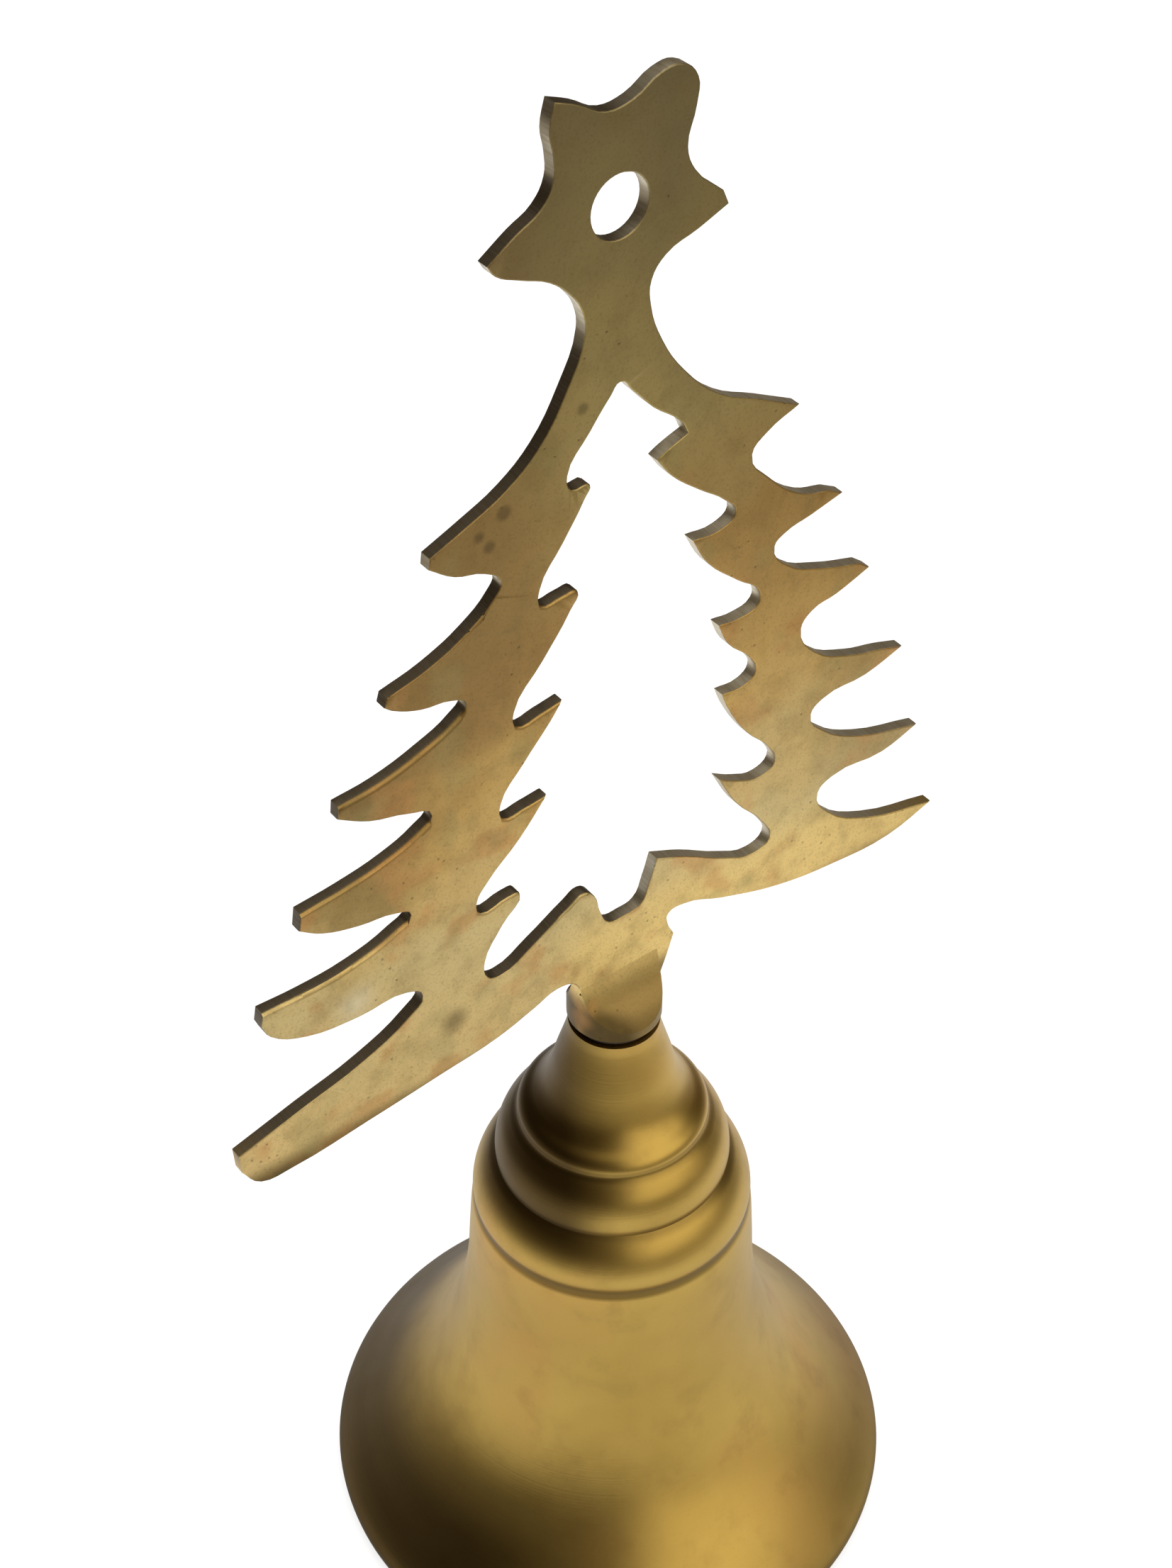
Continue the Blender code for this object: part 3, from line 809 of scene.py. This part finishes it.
# the paper mirrored near the bell is dimmer: painted shade
PAPER_MIDDLE = (0.80, 0.79, 0.76)
PAPER_OUTSIDE = (1.0, 0.99, 0.97)
TABLE = (0.26, 0.23, 0.18)
ROOM = (0.050, 0.036, 0.022)
CEILING = (0.42, 0.38, 0.30)
WINDOW = (1.28, 1.19, 1.00)
WINDOW_TURN = (6, 28, 80, 100)     # degrees, from behind the viewer towards the right
WINDOW_RISE = (0.03, 0.12, 0.90, 0.97)
BACKDROP = (0.93, 0.93, 0.93)
PANELS = (                         # name, place, aim, side, power
    ("top_panel", (0.10, 0.25, 1.0), (0.0, 0.05, 0.0), 0.8, 14.0),
    ("front_panel", (0.35, -0.75, 0.55), (0.0, 0.0, 0.05), 0.6, 4.0))
CAMERA_PLACE = Vector((-96.6, -123.8, 227.1)) * MM
CAMERA_AIM = Vector((-3.2, 0.0, 90.4)) * MM
CAMERA_ROLL = math.radians(0.26)
CAMERA_LENS = 59.4


def floor_finish():
    """Pale paper. The metal mirrors it as painted light: an emitted sheet to its edges, dimmer
    near the bell and with a painted shadow close to it, and dark table past them.
    """
    finish = Finish("pale_floor", metallic=0.0)
    finish.feed("Base Color", (0.88, 0.88, 0.88))
    finish.feed("Roughness", 0.9)
    radius = finish.from_axis()
    front = finish.axis(finish.place, "Y")
    # a painted shadow close to the bell darkens the mirrored sheet
    paper = radius.step(*PAPER_END) * front.step(*PAPER_FRONT) * radius.step(*BELL_SHADOW)
    # dimmer towards the bell: painted shade in the mirrored paper
    white = finish.mix(radius.step(45, 90), PAPER_MIDDLE, PAPER_OUTSIDE)
    mirrored = finish.mix(paper, TABLE, white)
    in_metal = finish.node("ShaderNodeEmission", {}, {"Color": mirrored, "Strength": 1.0})
    seen = finish.node("ShaderNodeLightPath", output="Is Camera Ray")
    glossy = finish.node("ShaderNodeLightPath", output="Is Glossy Ray")
    glow = finish.node("ShaderNodeEmission", {}, {"Color": (1, 1, 1, 1), "Strength": 1.02})
    lit = Wire(finish, finish.shader.outputs[0])
    looked_at = finish.node("ShaderNodeMixShader", {}, {0: seen * FLOOR_GLOW, 1: lit, 2: glow})
    both = finish.node("ShaderNodeMixShader", {}, {0: glossy, 1: looked_at, 2: in_metal})
    output = finish.tree.nodes["Material Output"]
    finish.tree.links.new(both.socket, output.inputs["Surface"])
    return finish.material


def make_floor():
    bpy.ops.mesh.primitive_plane_add(size=FLOOR_SIZE, location=(0, 0, -FLOOR_DROP))
    floor = bpy.context.object
    floor.name = "floor"
    floor.data.materials.append(floor_finish())


def make_world():
    """A dim brown room with one tall window, and a pale backdrop where it is looked at."""
    world = bpy.data.worlds.new("studio")
    bpy.context.scene.world = world
    world.use_nodes = True
    world.node_tree.nodes.clear()
    nodes = Nodes(world.node_tree)
    direction = nodes.node("ShaderNodeTexCoord", output="Generated")
    up = nodes.axis(direction, "Z")
    side = nodes.along(direction, SIDE)
    turn = side.maths("ARCTAN2", side, nodes.along(direction, AWAY) * -1)
    window = turn.band(*map(math.radians, WINDOW_TURN)) * up.band(*WINDOW_RISE)
    seen = nodes.node("ShaderNodeLightPath", output="Is Camera Ray")
    colour = nodes.layered(
        ROOM, (up.step(0.58, 0.85), CEILING), (window, WINDOW), (seen, BACKDROP))
    background = nodes.node("ShaderNodeBackground", {}, {"Color": colour})
    output = world.node_tree.nodes.new("ShaderNodeOutputWorld")
    world.node_tree.links.new(background.socket, output.inputs["Surface"])


def make_lights():
    """Panels that light the floor and the leather; the metal mirrors the window instead."""
    for name, place, aim, side, power in PANELS:
        light = bpy.data.lights.new(name, "AREA")
        light.shape = "RECTANGLE"
        light.size = light.size_y = side
        light.energy = power
        panel = bpy.data.objects.new(name, light)
        bpy.context.scene.collection.objects.link(panel)
        panel.location = place
        panel.rotation_mode = "QUATERNION"
        panel.rotation_quaternion = (Vector(aim) - Vector(place)).to_track_quat("-Z", "Y")
        panel.visible_camera = False
        panel.visible_glossy = False


def make_camera():
    camera = bpy.data.objects.new("camera", bpy.data.cameras.new("camera"))
    bpy.context.scene.collection.objects.link(camera)
    camera.location = CAMERA_PLACE
    camera.rotation_mode = "QUATERNION"
    level = (CAMERA_AIM - CAMERA_PLACE).to_track_quat("-Z", "Y")
    camera.rotation_quaternion = level @ Quaternion((0, 0, 1), CAMERA_ROLL)
    camera.data.lens = CAMERA_LENS
    camera.data.sensor_width = 36
    camera.data.clip_start = 0.005
    camera.data.clip_end = 50
    bpy.context.scene.camera = camera


def make_object():
    brass = fitting_brass()
    steel = drawn_steel()
    make_tree()
    make_bell()
    make_washers(brass, steel)
    make_hex_nut("crown_nut", "hex_nut", BOLT_BORE, "bell", brass)
    make_ring_on_rod("forged_eyebolt", "eyebolt", "bell", EYE_WIRE, BOLT_RADIUS, False, steel)
    make_link(steel)
    make_ring_on_rod("looped_clapper_rod", "clapper_rod", "clapper", LOOP_WIRE, ROD_RADIUS,
                     True, steel)
    make_ball(brass)
    make_hex_nut("clapper_nut", "clapper_end_nut", ROD_BORE, "clapper", brass)


make_camera()
make_world()
make_lights()
make_floor()
make_object()
bpy.context.scene.view_settings.view_transform = "Standard"
